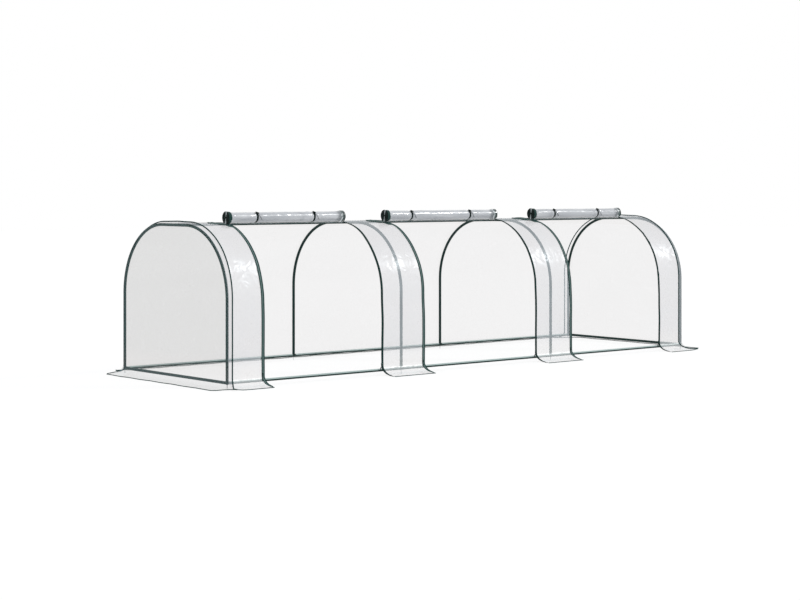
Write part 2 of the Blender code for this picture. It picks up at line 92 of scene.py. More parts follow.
# Film
HALF_FILM = 0.00025
FILM_OFFSET = TUBE_RADIUS + TOUCH + HALF_FILM  # from a tube's centreline to the film
SKIRT_DROP = 0.052  # the height from which the skirt curls out
SKIRT_SWEEP = 0.090  # how far out that curl takes it
WALL_Y = HALF_WIDTH + FILM_OFFSET
SKIRT_REACH = -HEM_Y - WALL_Y
FRONT_CORNER_FLARE = 0.040
BACK_CORNER_FLARE = 0.002
SEAM_FLARE = 0.0515
FILM_BEND = BEND_RADIUS + FILM_OFFSET
BEND_END = FLAT_HALF + FILM_BEND * math.pi / 2
WALL_END = BEND_END + BEND_Z - SKIRT_DROP
CURL_TURNS = np.linspace(0, math.pi / 2, 91)
CURL_STEPS = np.hypot(np.diff(SKIRT_SWEEP * np.cos(CURL_TURNS)), np.diff(SKIRT_DROP * np.sin(CURL_TURNS)))
CURL_LENGTHS = np.concatenate([[0], np.cumsum(CURL_STEPS)])
CURL_END = WALL_END + CURL_LENGTHS[-1]
HEM_S = CURL_END + SKIRT_REACH - SKIRT_SWEEP
LIE = 0.0006  # the height of the film that lies on the ground
HEM_LIFT = 0.0008
EDGE_SLACK = 0.0080  # how far the strips sink in at their edges
CORNER_LIFT = 0.0055
BACK_CORNER_LIFT = 0.002
BACK_FLARE = -0.008
BACK_DRIFT = 0.017
FLOOR_Z = -0.0008  # under the hems' lowest points
SEAM_REACH = 0.055  # how far along the film a seam shapes it
SEAM_RISE = 0.0062  # how far a seam stands off the hoop's bend
RIDGE_RISE = 0.0028  # how much further it stands off at the ridge

# Rolled doors
ROLL_SEAT = 0.171  # from the ridge along the film to where a roll rests
FLAP_SAG = 0.0018
SAG_FADE = 0.067
TAPE_TILT = 0.0092  # how far the wide tape's outer edge hangs down there
TAPE_FADE = 0.025
ROLL_RADIUS = 0.0305
ROLL_END_RADIUS = 0.0345
ROLL_Y = -0.17393
ROLL_Z = 0.8662
ROLL_CORE = 0.006
ROLL_TURNS = 7.8
LOOSE_TURNS = 1.2  # how far in its creases fade
ROLL_CLEARANCE = 0.0024  # from the film up to a roll's flattened underside
ROLL_TAPE = 0.021
TIE_HALF_WIDTH = 0.005
TIE_LEAN = 0.0008
TIE_PINCHES = ((0.0050, 0.0085), (0.0010, 0.030))  # how deep and how wide a tie draws a roll in
TURN_STEPS = 26

# Edges: the width and height of each kind of binding
BINDING = (0.0048, 0.0038)
END_BINDING = (0.0062, 0.0042)
PIPING = (0.0070, 0.0064)

# Zips
TAPE_LIFT = 0.0011
TAPE_THICKNESS = 0.0008
COIL_LIFT = 0.0014
COIL_PITCH = 0.0030
TAPER_LENGTH = 0.050
TAPER_CUT = 0.85
PULL_SWING = math.radians(26)

ALONG = Vector((1, 0, 0))
UP = Vector((0, 0, 1))


def operator(operation, reflected=False):
    """A method for one arithmetic sign, which adds a Math node."""

    def work(self, other):
        first, second = (other, self) if reflected else (self, other)
        return self.look.add("Math", {"operation": operation}, {0: first, 1: second})

    return work


class Number:
    """A value in a material's nodes. Arithmetic on it adds Math nodes."""

    def __init__(self, look, socket):
        self.look = look
        self.socket = socket

    __add__ = operator("ADD")
    __radd__ = operator("ADD", reflected=True)
    __sub__ = operator("SUBTRACT")
    __rsub__ = operator("SUBTRACT", reflected=True)
    __mul__ = operator("MULTIPLY")
    __rmul__ = operator("MULTIPLY", reflected=True)
    __truediv__ = operator("DIVIDE")
    __rtruediv__ = operator("DIVIDE", reflected=True)
    __pow__ = operator("POWER")


class Look:
    """The nodes of a material, or of the world."""

    def __init__(self, name, world=False):
        self.owner = (bpy.data.worlds if world else bpy.data.materials).new(name)
        self.owner.use_nodes = True
        self.tree = self.owner.node_tree
        self.tree.nodes.clear()

    def add(self, kind, settings=None, sockets=None, output=0):
        """Adds a node of a type, sets it up and returns one of its outputs."""
        node = self.tree.nodes.new(f"ShaderNode{kind}")
        for name, value in (settings or {}).items():
            setattr(node, name, value)
        for key, value in (sockets or {}).items():
            socket = node.inputs[key]
            if isinstance(value, Number):
                self.tree.links.new(value.socket, socket)
            else:
                socket.default_value = (*value, 1) if socket.type == "RGBA" else value
        return Number(self, node.outputs[output]) if node.outputs else node

    def uv(self, stretch=(1, 1)):
        """The piece's own flat measures, in metres, each times a number."""
        flat = self.add("UVMap", {"uv_map": "flat"})
        return self.add("VectorMath", {"operation": "MULTIPLY"}, {0: flat, 1: (*stretch, 1)})

    def noise(self, where, scale, detail=3.0, roughness=0.5, kind="FBM", distortion=0.0):
        settings = {"noise_dimensions": "3D", "noise_type": kind}
        sockets = {"Vector": where, "Scale": scale, "Detail": detail}
        sockets |= {"Roughness": roughness, "Distortion": distortion}
        return self.add("TexNoise", settings, sockets)

    def part_of(self, where, axis):
        return self.add("SeparateXYZ", sockets={0: where}, output=axis)

    def sine(self, value):
        return self.add("Math", {"operation": "SINE"}, {0: value})

    def steps(self, value, low, high):
        """0 below low and 1 above high, with a smooth rise between."""
        sockets = {"Value": value, "From Min": low, "From Max": high}
        return self.add("MapRange", {"interpolation_type": "SMOOTHSTEP"}, sockets)

    def colours(self, factor, first, second):
        settings = {"data_type": "RGBA", "clamp_factor": True}
        return self.add("Mix", settings, {0: factor, 6: first, 7: second}, output=2)

    def bump(self, height, strength, distance):
        return self.add("Bump", sockets={"Strength": strength, "Distance": distance, "Height": height})

    def surface(self, **sockets):
        """A Principled shader. A word's capital and spaces come from its name."""
        named = {}
        for name, value in sockets.items():
            named[name.replace("_", " ").title().replace("Ior", "IOR")] = value
        return self.add("BsdfPrincipled", sockets=named)

    def coated(self, **sockets):
        """The finished material, with nothing but a Principled shader."""
        return self.finish(self.surface(**sockets))

    def finish(self, shader, kind="Material"):
        self.add(f"Output{kind}", sockets={"Surface": shader})
        return self.owner


def clear_film(name, tint, veil, gloss, haze, skirt):
    """Thin clear film: it lets light through, mirrors more at a slant, and has a milky, crinkled skin.

    The skirt starts at this place on the flat material. It is clearer, and the film above it is creased.
    """
    look = Look(name)
    flat = look.uv()
    slant = look.add("LayerWeight", sockets={"Blend": 0.5}, output="Facing")
    face = 0.04 + 0.08 * slant**5
    shine = 2 * face / (1 + face) * gloss
    dust = look.steps(look.noise(flat, 9, 4, 0.6), 0.35, 0.75)
    place = look.part_of(flat, 1)
    lying = 1 - look.steps(place, skirt - 0.05, skirt)
    share = shine + haze * (0.92 + 0.16 * dust) * (1 + 0.35 * slant**4) * (1 - 0.75 * lying)
    crinkle = look.noise(flat, 20, kind="RIDGED_MULTIFRACTAL", distortion=0.8)
    bend = look.steps(place, -0.74, -0.62) * (1 - look.steps(place, -0.52, -0.42))
    fine = look.noise(flat, 120, 2)
    foot = (1 - look.steps(place, skirt - 0.01, skirt + 0.10)) * (1 - lying)
    height = crinkle * (0.12 + 0.60 * bend + 0.8 * foot) + fine * 0.012
    # Painted shade: the film's upper part, which faces the light most, is darkened a little.
    painted_top_shading = look.steps(place, -0.70, -0.30)
    tone = look.colours(painted_top_shading * 0.16, veil, (0, 0, 0))
    low = 1 - look.steps(place, skirt + 0.05, skirt + 0.15)
    tone = look.colours(low * 0.8, tone, (0.93, 0.975, 0.965))
    skin = look.surface(
        base_color=look.colours(lying, tone, (0.60, 0.88, 0.98)),
        metallic=shine / share,
        roughness=0.27 + 0.08 * dust,
        specular_ior_level=0.18,
        normal=look.bump(height, 1.0, 0.004),
    )
    through = look.add("BsdfTransparent", sockets={"Color": tint})
    return look.finish(look.add("MixShader", sockets={0: share, 1: through, 2: skin}))


def rolled_film(name, end):
    """Many turns of film: milky grey, streaked along the roll, green over the tape at its end, with painted
    shade underneath.
    """
    look = Look(name)
    flat = look.uv()
    streaks = look.noise(look.uv((3, 60)), 1.0, 4, 0.6)
    clouds = look.noise(look.uv((14, 30)), 1.0, 3)
    patches = look.noise(look.uv((70, 90)), 1.0, 3)
    tone = look.colours(look.steps(streaks, 0.3, 0.7), (0.46, 0.48, 0.505), (0.66, 0.675, 0.69))
    # A grey for the random dark mottles and for the painted shade on the underside.
    dark = (0.33, 0.35, 0.37)
    tone = look.colours(look.steps(clouds, 0.56, 0.72) * 0.6, tone, dark)
    # Painted shade: the underside of the roll is darkened.
    under = 1 - look.steps(look.part_of(flat, 1), 0.012, 0.034)
    tone = look.colours(under * 0.3, tone, dark)
    inward = end - look.part_of(flat, 0)
    grey = 1 - look.steps(inward + 0.040 * (patches - 0.5), 0.038, 0.066)
    green = 1 - look.steps(inward + 0.012 * (patches - 0.5), 0.022, 0.034)
    tone = look.colours(grey * 0.7, tone, (0.11, 0.13, 0.14))
    tone = look.colours(green * 0.88, tone, (0.022, 0.062, 0.056))
    rim = 1 - look.steps(inward + 0.006 * (patches - 0.5), 0.008, 0.016)
    tone = look.colours(rim * 0.9, tone, (0.004, 0.016, 0.014))
    # Partly the pale edges of the wound film and partly painted glints: a ring near the end, pale in patches.
    edges = look.steps(inward, 0.018, 0.022) * (1 - look.steps(inward, 0.026, 0.032))
    tone = look.colours(edges * look.steps(patches, 0.42, 0.56), tone, (0.74, 0.78, 0.79))
    height = streaks * 0.6 + clouds * 1.1 + patches * 0.25 * grey
    return look.coated(
        base_color=tone,
        roughness=0.16 + 0.14 * clouds,
        coat_weight=0.6,
        coat_roughness=0.08,
        alpha=0.86 + 0.14 * streaks,
        normal=look.bump(height, 0.8, 0.003),
    )


def steel_paint(name, top_highlight):
    """Dark green powder coat with its fine orange peel. The second argument is how strongly a pale painted
    highlight lightens its upper side.
    """
    look = Look(name)
    flat = look.uv()
    patches = look.noise(flat, 18, 4, 0.6)
    peel = look.noise(flat, 1400, 1)
    scuffs = look.steps(look.noise(look.uv((90, 900)), 1.0, 3, 0.7), 0.68, 0.74)
    tone = look.colours(patches, (0.004, 0.024, 0.021), (0.009, 0.035, 0.031))
    tone = look.colours(scuffs * 0.3, tone, (0.05, 0.09, 0.08))
    if top_highlight:
        # Painted highlight: the upper side is made pale, as if it caught the light.
        up = look.part_of(look.add("NewGeometry", output="Normal"), 2)
        painted_top_shading = look.steps(up + 0.12 * patches, 0.12, 0.40)
        tone = look.colours(painted_top_shading * top_highlight, tone, (0.46, 0.56, 0.54))
    return look.coated(
        base_color=tone,
        roughness=0.34 + 0.18 * patches + 0.1 * scuffs,
        specular_ior_level=0.16,
        normal=look.bump(peel, 0.12, 0.0004),
    )


def moulded_plastic():
    """Dark green moulded plastic of the tube joints, with a fine grain, and their pale pegs."""
    look = Look("green_joint")
    where = look.add("TexCoord", output="Object")
    grain = look.noise(where, 1800, 2)
    clouds = look.noise(where, 60, 3)
    tone = look.colours(clouds, (0.004, 0.018, 0.016), (0.009, 0.028, 0.025))
    peg = 1 - look.steps(look.part_of(where, 2), RAIL_Z - 0.012, RAIL_Z - 0.008)
    tone = look.colours(peg, tone, (0.80, 0.81, 0.81))
    return look.coated(
        base_color=tone,
        roughness=0.42 + 0.16 * clouds,
        specular_ior_level=0.25,
        normal=look.bump(grain, 0.25, 0.0003),
    )


def woven_tape(name, dark, light, gloss):
    """Woven polyester tape, with slanted yarns across it and fine ribs along it."""
    look = Look(name)
    flat = look.uv()
    across = look.part_of(flat, 0)
    along = look.part_of(flat, 1)
    rib_pitch, yarn_pitch = 0.0011, 0.0026
    ribs = look.sine(across * (math.tau / rib_pitch))
    yarns = look.sine((along + across * 0.6) * (math.tau / yarn_pitch))
    weave = 0.5 + 0.25 * ribs + 0.25 * yarns
    fade = look.noise(flat, 26, 3)
    tone = look.colours(look.steps(weave * 0.6 + fade * 0.4, 0.25, 0.75), dark, light)
    return look.coated(
        base_color=tone,
        roughness=gloss + 0.12 * fade,
        specular_ior_level=0.02,
        normal=look.bump(weave, 0.5, 0.0005),
    )


def coil_plastic():
    """Glossy green monofilament of the zip's coil, with a painted highlight on its crests."""
    look = Look("zip_coil")
    flat = look.uv()
    turns = look.sine(look.part_of(flat, 1) * (math.tau / COIL_PITCH))
    fade = look.noise(flat, 40, 3)
    # Painted highlight: each turn of the coil is lighter on its crest.
    tone = look.colours(0.5 + 0.35 * turns + 0.15 * fade, (0.045, 0.095, 0.087), (0.135, 0.220, 0.205))
    return look.coated(base_color=tone, roughness=0.22 + 0.12 * fade, specular_ior_level=0.6)


def tape_edges():
    """The edges of many turns of zip tape: almost black, with a painted highlight above and below the middle.
    """
    look = Look("tape_edges")
    flat = look.uv()
    fade = look.noise(flat, 120, 3)
    # Painted highlight: a pale wedge above and below the middle of the end, where the wound edges would catch
    # the light.
    turn = look.part_of(flat, 1) / ROLL_END_RADIUS
    upright = look.sine(turn - 0.12)
    pale = look.steps(upright * upright + 0.05 * fade, 0.93, 1.03)
    tone = look.colours(fade, (0.002, 0.005, 0.004), (0.008, 0.018, 0.016))
    tone = look.colours(pale * 0.85, tone, (0.55, 0.60, 0.60))
    return look.coated(base_color=tone, roughness=0.34 + 0.10 * fade, specular_ior_level=0.15)


def slider_metal(name, lacquer, rubbed):
    """Lacquered die-cast metal, rubbed a little brighter in patches."""
    look = Look(name)
    where = look.add("TexCoord", output="Object")
    wear = look.steps(look.noise(where, 260, 4, 0.65), 0.55, 0.7)
    tone = look.colours(wear * 0.5, lacquer, rubbed)
    return look.coated(base_color=tone, metallic=0.7, roughness=0.26 + 0.2 * wear)


STRIP_FOOT = -0.04 - WALL_END  # where the strips start to lie down, on their flat material
LOOKS = {
    "steel": steel_paint("green_steel", 0.0),
    "rail steel": steel_paint("green_rail_steel", 0.9),
    "joint": moulded_plastic(),
    "end film": clear_film("end_film", (0.860, 0.845, 0.839), (0.70, 0.97, 1.0), 0.75, 0.020, 0.02),
    "strip film": clear_film("strip_film", (0.950, 0.905, 0.895), (0.79, 0.85, 0.88), 0.7, 0.360, STRIP_FOOT),
    "back film": clear_film("back_film", (0.898, 0.890, 0.886), (0.90, 0.93, 0.95), 0.6, 0.012, -0.25),
    "wide tape": woven_tape("zip_tape_wide", (0.014, 0.040, 0.036), (0.038, 0.084, 0.077), 0.55),
    "narrow tape": woven_tape("zip_tape_narrow", (0.010, 0.027, 0.024), (0.024, 0.056, 0.050), 0.55),
    "binding": woven_tape("edge_binding", (0.006, 0.034, 0.031), (0.018, 0.068, 0.063), 0.6),
    "rolled tape": woven_tape("rolled_tape", (0.016, 0.040, 0.036), (0.040, 0.084, 0.076), 0.30),
    "tape edges": tape_edges(),
    "coil": coil_plastic(),
    "tie": woven_tape("tie_tape", (0.006, 0.012, 0.011), (0.018, 0.034, 0.031), 0.6),
    "slider": slider_metal("zip_slider", (0.012, 0.014, 0.015), (0.10, 0.105, 0.11)),
    "green slider": slider_metal("zip_slider_green", (0.075, 0.130, 0.120), (0.15, 0.21, 0.20)),
}
for roll in ("door_roll_1", "door_roll_2", "door_roll_3"):
    LOOKS[roll] = rolled_film(f"rolled_film_{roll[-1]}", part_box(roll)[1].x)


def add_object(name, data):
    made = bpy.data.objects.new(name, data)
    bpy.context.scene.collection.objects.link(made)
    return made


def fit_out(piece, body="frame", node=None):
    """Gives a piece its body and hides the CAD node that it stands for."""
    if node:
        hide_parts(node)
    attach(piece, body)
    return piece


def new_piece(name, points, faces, look, flat):
    """An object from points and faces. flat gives each point's place on the flat material, in metres."""
    mesh = bpy.data.meshes.new(name)
    mesh.from_pydata([tuple(p) for p in points], [], [tuple(f) for f in faces])
    layer = mesh.uv_layers.new(name="flat")
    corners = np.empty(len(mesh.loops), np.int32)
    mesh.loops.foreach_get("vertex_index", corners)
    layer.data.foreach_set("uv", np.asarray(flat, np.float32)[corners].ravel())
    mesh.shade_smooth()
    mesh.materials.append(LOOKS[look])
    return add_object(name, mesh)


def grid_faces(rows, columns, loop_rows=False, loop_columns=False, capped=False):
    """The faces of a grid of points. Caps close the first and the last row."""
    faces = []
    for i in range(rows if loop_rows else rows - 1):
        for j in range(columns if loop_columns else columns - 1):
            a, b = i * columns, (i + 1) % rows * columns
            k = (j + 1) % columns
            faces.append((a + j, a + k, b + k, b + j))
    if capped:
        last = (rows - 1) * columns
        faces.append(tuple(range(columns))[::-1])
        faces.append(tuple(range(last, last + columns)))
    return faces


def grid(rows, columns):
    """Two square arrays, with the value of each point's row and of its column."""
    return np.meshgrid(rows, columns, indexing="ij")


def stack(*parts):
    """One array of points from the arrays of their coordinates."""
    return np.stack(parts, axis=-1)


def sheet(name, points, flat, look):
    """A sheet through a grid of points, shaped (rows, columns, 3)."""
    rows, columns = points.shape[:2]
    faces = grid_faces(rows, columns)
    return new_piece(name, points.reshape(-1, 3), faces, look, flat.reshape(-1, 2))


def thicken(piece, thickness):
    solidify = piece.modifiers.new("thickness", "SOLIDIFY")
    solidify.thickness = thickness
    solidify.offset = 0
    solidify.use_even_offset = True
    return piece


def smooth_step(value, low, high):
    share = np.clip((value - low) / (high - low), 0, 1)
    return share * share * (3 - 2 * share)


def section(s):
    """The film's section at distances s from the ridge: y, z and the outward normal's y and z."""
    s = np.asarray(s, float)
    side = np.where(s < 0, -1.0, 1.0)
    t = np.abs(s)
    bend = np.clip((t - FLAT_HALF) / FILM_BEND, 0, math.pi / 2)
    curl = np.interp(t - WALL_END, CURL_LENGTHS, CURL_TURNS)
    down = np.clip(t - BEND_END, 0, WALL_END - BEND_END)
    out = np.clip(t - CURL_END, 0, None)
    y = np.minimum(t, FLAT_HALF) + FILM_BEND * np.sin(bend) + SKIRT_SWEEP * (1 - np.cos(curl)) + out
    z = BEND_Z + FILM_BEND * np.cos(bend) - down - SKIRT_DROP * np.sin(curl) + LIE
    outward, upward = SKIRT_DROP * np.cos(curl), SKIRT_SWEEP * np.sin(curl)
    away = np.hypot(outward, upward)
    ny = np.where(curl > 0, outward / away, np.sin(bend))
    nz = np.where(curl > 0, upward / away, np.cos(bend))
    return side * y, z, side * ny, nz


def waves(x, s, seed, count, longest, height):
    """Soft swells in all directions, from the same seed the same ones."""
    chance = random.Random(seed)
    total = np.zeros(np.broadcast(x, s).shape)
    for _ in range(count):
        length = longest * chance.uniform(0.3, 1.0)
        turn = chance.uniform(0, math.pi)
        start = chance.uniform(0, math.tau)
        total += np.sin((x * math.cos(turn) + s * math.sin(turn)) * math.tau / length + start) * length
    return height * total / longest / math.sqrt(count)


def creases(x, s, seed, count, where, reach, width, height, lean=0.0, spread=math.pi / 2):
    """Short sharp folds, each along its own line, inside a rectangle (x from, x to, s from, s to)."""
    chance = random.Random(seed)
    total = np.zeros(np.broadcast(x, s).shape)
    for _ in range(count):
        from_x = x - chance.uniform(where[0], where[1])
        from_s = s - chance.uniform(where[2], where[3])
        turn = lean + chance.uniform(-spread, spread)
        along = from_x * math.cos(turn) + from_s * math.sin(turn)
        across = from_s * math.cos(turn) - from_x * math.sin(turn)
        half = reach * chance.uniform(0.4, 1.0)
        narrow = width * chance.uniform(0.6, 1.3)
        fold = np.exp(-((along / half) ** 2)) / (1 + (across / narrow) ** 2)
        total += height * chance.choice((-1, 1)) * chance.uniform(0.5, 1.0) * fold
    return total


def film_shift(x, s):
    """How far the film stands off its plain section: slack between the hoops, tight over the tubes."""
    gap = np.min([np.abs(x - hoop) for hoop in HOOPS], axis=0)
    free = smooth_step(gap, 0.010, 0.060) * smooth_step(np.abs(s), 0.010, 0.050)
    shift = waves(x, s, 11, 14, 0.45, 0.0022) - 0.0016 * free
    slack = smooth_step(gap, 0.020, 0.150) * smooth_step(-s, 0.20, 0.50) * (1 - smooth_step(-s, 0.62, 0.86))
    shift = shift - EDGE_SLACK * slack
    for i, (left, right) in enumerate(STRIPS):
        bend = (left, right, -0.72, -0.40)
        shift = shift + creases(x, s, 40 + i, 26, bend, 0.045, 0.0060, 0.0018)
    back_foot = (-SEAM_X, SEAM_X, WALL_END - 0.14, WALL_END)
    shift = shift + creases(x, s, 80, 70, back_foot, 0.050, 0.0060, 0.0020, 0.1, 0.6)
    lying = smooth_step(np.abs(s), WALL_END, CURL_END)
    ripple_height, ripple_length = 0.0012, 0.17
    ripple = ripple_height * (1 + np.sin(x * math.tau / ripple_length + 1.2))
    ripple = ripple * smooth_step(np.abs(s), CURL_END, HEM_S) * smooth_step(s, 0, 0.1)
    shift = shift * (1 - lying) + ripple * lying
    clear = 0.0001
    return np.where(shift < 0, shift * free, shift * (0.25 + 0.75 * free)) + clear


def film_points(x, s, lift=0.0):
    """Points on the film, or a little over it, at each x and s."""
    x, s = np.broadcast_arrays(x, s)
    y, z, ny, nz = section(s)
    stand = film_shift(x, s) + lift
    return stack(x, y + ny * stand, z + nz * stand - flap_sag(x, s))


def flap_sag(x, s):
    """How far the film under a roll hangs down. The stiff wide tape tilts, with its outer edge low."""
    x, s = np.broadcast_arrays(x, s)
    along = np.clip(-s / ROLL_SEAT, 0, 1) * (1 - smooth_step(-s, ROLL_SEAT, ROLL_SEAT + SAG_FADE))
    tilt = TAPE_TILT * smooth_step(-s, 0, 0.03) * (1 - smooth_step(-s, ROLL_SEAT + 0.03, ROLL_SEAT + 0.09))
    low = tilt * (0.85 + 0.35 * smooth_step(-s, 0.06, 0.15))
    total = np.zeros(x.shape)
    for left, right in DOORS:
        inside = x - left
        edge = low * smooth_step(inside, -0.120, 0.0) - tilt * np.clip(inside / WIDE_TAPE, 0, 1)
        free = smooth_step(inside, WIDE_TAPE, WIDE_TAPE + TAPE_FADE)
        total += (edge * (1 - free) + FLAP_SAG * along * free) * smooth_step(right - x, -0.010, 0.020)
    return total


def stations(start, end, step):
    """Even places from start to end, about a step apart."""
    return np.linspace(start, end, max(2, round(abs(end - start) / step) + 1))


def tube_rings(path, frames, radius):
    """Rings round a path. frames gives two directions square to the path at each point."""
    turn = np.linspace(0, math.tau, TUBE_SIDES, endpoint=False)
    rings = []
    for point, (first, second) in zip(path, frames):
        rings.append([point + (first * math.cos(a) + second * math.sin(a)) * radius for a in turn])
    return np.array(rings)


def steel_tube(node, path, frames, look="steel"):
    """A hollow tube along a path, in place of a CAD node."""
    path = [np.array(p, float) for p in path]
    outer = tube_rings(path, frames, TUBE_RADIUS)
    inner = tube_rings(path, frames, TUBE_RADIUS - TUBE_WALL)[::-1]
    points = np.concatenate([outer, inner])
    rows = len(points)
    lengths = np.concatenate([[0], np.cumsum([np.linalg.norm(b - a) for a, b in zip(path, path[1:])])])
    lengths = np.concatenate([lengths, lengths[::-1]])
    around = np.linspace(0, math.tau * TUBE_RADIUS, TUBE_SIDES, endpoint=False)
    flat = stack(*np.meshgrid(around, lengths))
    faces = grid_faces(rows, TUBE_SIDES, loop_rows=True, loop_columns=True)
    piece = new_piece(f"{node}_painted", points.reshape(-1, 3), faces, look, flat.reshape(-1, 2))
    piece.data.set_sharp_from_angle(angle=math.radians(50))
    fit_out(piece, node=node)


def hoop_half(node, x, side):
    """A hoop's leg, bend and half of its flat top."""
    angles = [math.pi / 2 * i / BEND_STEPS for i in range(BEND_STEPS + 1)]
    shoulder = HUB_REACH + TOUCH
    path = [(x, side * HALF_WIDTH, RAIL_Z + shoulder)]
    radial = [(0, side, 0)]
    for a in angles:
        out = (0, side * math.cos(a), math.sin(a))
        path.append((x, side * FLAT_HALF + BEND_RADIUS * out[1], BEND_Z + BEND_RADIUS * out[2]))
        radial.append(out)
    path.append((x, side * shoulder, RIDGE_Z))
    radial.append((0, 0, 1))
    steel_tube(node, path, [(np.array((1, 0, 0)), np.array(r, float)) for r in radial])


def straight_tube(node, start, end, look="steel"):
    start, end = Vector(start), Vector(end)
    along = (end - start).normalized()
    shoulder = along * (HUB_REACH + TOUCH)
    across = along.cross(UP)
    frames = [(np.array(across), np.array(UP, float))] * 2
    steel_tube(node, [start + shoulder, end - shoulder], frames, look)


def moulded_run(direction, back, ahead, peg=0.0):
    """One run of a joint: a round bar with a moulded groove behind each shoulder, or a peg at one end."""
    groove, depth, land, edge = 0.0032, 0.0006, 0.0016, 0.0003
    profile = []
    for end, sign in ((-back, 1), (ahead, -1)):
        if end == 0:
            ring = [(0.0, TUBE_RADIUS * 0.98)]
        elif peg and sign == 1:
            neck = PEG_RADIUS + 0.0015
            ring = [(-peg, PEG_RADIUS - edge), (0.0006 - peg, PEG_RADIUS), (end - 0.003, PEG_RADIUS)]
            ring += [(end - 0.001, neck), (end + 0.001, TUBE_RADIUS - 0.002), (end + 0.004, TUBE_RADIUS)]
        else:
            inward = (0, edge, land, (land + groove) / 2, groove)
            radii = (TUBE_RADIUS - edge, TUBE_RADIUS, TUBE_RADIUS, TUBE_RADIUS - depth, TUBE_RADIUS)
            ring = [(end + sign * far, radius) for far, radius in zip(inward, radii)]
        profile += ring if sign == 1 else ring[::-1]
    turn = UP.rotation_difference(direction).to_matrix()
    around = [math.tau * i / TUBE_SIDES for i in range(TUBE_SIDES)]
    points = []
    for distance, radius in profile:
        points += [turn @ Vector((radius * math.cos(a), radius * math.sin(a), distance)) for a in around]
    mesh = bpy.data.meshes.new("run")
    mesh.from_pydata(points, [], grid_faces(len(profile), TUBE_SIDES, loop_columns=True, capped=True))
    return mesh


def joined(name, meshes):
    """One mesh of several, which it uses up."""
    shape = bmesh.new()
    for mesh in meshes:
        shape.from_mesh(mesh)
        bpy.data.meshes.remove(mesh)
    whole = bpy.data.meshes.new(name)
    shape.to_mesh(whole)
    shape.free()
    return whole


def tube_joint(node, centre, runs):
    """A moulded joint of crossing runs, melted into one body with soft inner corners."""
    piece = add_object(f"{node}_moulded", joined(node, [moulded_run(*run) for run in runs]))
    melt = piece.modifiers.new("melt", "REMESH")
    melt.mode = "VOXEL"
    melt.voxel_size = 0.0007
    soften = piece.modifiers.new("soften", "SMOOTH")
    soften.factor = 0.5
    soften.iterations = 3
    bpy.context.view_layer.update()
    mesh = bpy.data.meshes.new_from_object(piece.evaluated_get(bpy.context.evaluated_depsgraph_get()))
    mesh.transform(Matrix.Translation(centre))
    mesh.shade_smooth()
    mesh.materials.clear()
    mesh.materials.append(LOOKS["joint"])
    piece.modifiers.clear()
    piece.data = mesh
    fit_out(piece, node=node)


def build_frame():
    """Every tube and joint of the frame."""
    for i, x in enumerate(HOOPS):
        number = i + 1
        back = 0.0 if i == 0 else HUB_REACH
        ahead = 0.0 if i == len(HOOPS) - 1 else HUB_REACH
        outer = i in (0, len(HOOPS) - 1)
        for where, side in (("front", -1), ("back", 1)):
            hoop_half(f"hoop_{number}_{where}_tube", x, side)
            kind = "corner_joint" if outer else "base_tee"
            runs = [(UP, TUBE_RADIUS, HUB_REACH, RAIL_Z), (ALONG, back, ahead)]
            if outer:
                runs.append((Vector((0, -side, 0)), 0.0, HUB_REACH))
            tube_joint(f"{kind}_{number}_{where}", Vector((x, side * HALF_WIDTH, RAIL_Z)), runs)
        kind = "ridge_tee" if outer else "ridge_cross"
        runs = [(Vector((0, 1, 0)), HUB_REACH, HUB_REACH), (ALONG, back, ahead)]
        tube_joint(f"{kind}_{number}", Vector((x, 0, RIDGE_Z)), runs)
    for i, (x, next_x) in enumerate(zip(HOOPS, HOOPS[1:])):
        straight_tube(f"ridge_tube_{i + 1}", (x, 0, RIDGE_Z), (next_x, 0, RIDGE_Z))
        for where, y in (("front", -HALF_WIDTH), ("back", HALF_WIDTH)):
            straight_tube(f"side_rail_{i + 1}_{where}", (x, y, RAIL_Z), (next_x, y, RAIL_Z), "rail steel")
    for where, x in (("left", HOOPS[0]), ("right", HOOPS[-1])):
        straight_tube(f"end_rail_{where}", (x, -HALF_WIDTH, RAIL_Z), (x, HALF_WIDTH, RAIL_Z))


def seam_rise(s):
    """How far the seam stands off the frame: it takes a rounder way over the top than the hoop."""
    height = SEAM_RISE + RIDGE_RISE * np.exp(-((s / 0.09) ** 2))
    return height * smooth_step(s, -0.75, -0.42) * (1 - smooth_step(s, 0.12, 0.32))


def seam_drift(s, side):
    """How much nearer to the hoop the seam is on the back. It is so at the left end alone."""
    return (BACK_DRIFT if side < 0 else 0.0) * smooth_step(s, -0.05, 0.30)


def corner_flare(x, s, points):
    """Shapes the film next to each seam: drawn out at the corners of the skirt, raised over the top."""
    lying = smooth_step(np.abs(s), WALL_END, HEM_S)
    _, _, ny, nz = section(s)
    rise = seam_rise(s)
    flare = np.where(s > 0, BACK_FLARE, SEAM_FLARE) * lying
    lift = np.where(s > 0, BACK_CORNER_LIFT, CORNER_LIFT)
    for side in (-1, 1):
        near = smooth_step(side * x, SEAM_X - SEAM_REACH, SEAM_X)
        points[..., 0] += side * near * (flare + seam_drift(s, side))
        points[..., 1] += ny * near * rise
        points[..., 2] += near**4 * lift * lying**2 + near * nz * rise
    return points


def cover_points(x, s, lift=0.0):
    """Points on the roof or a strip, or a little over it, with its shape next to the seams."""
    return corner_flare(x, s, film_points(x, s, lift))


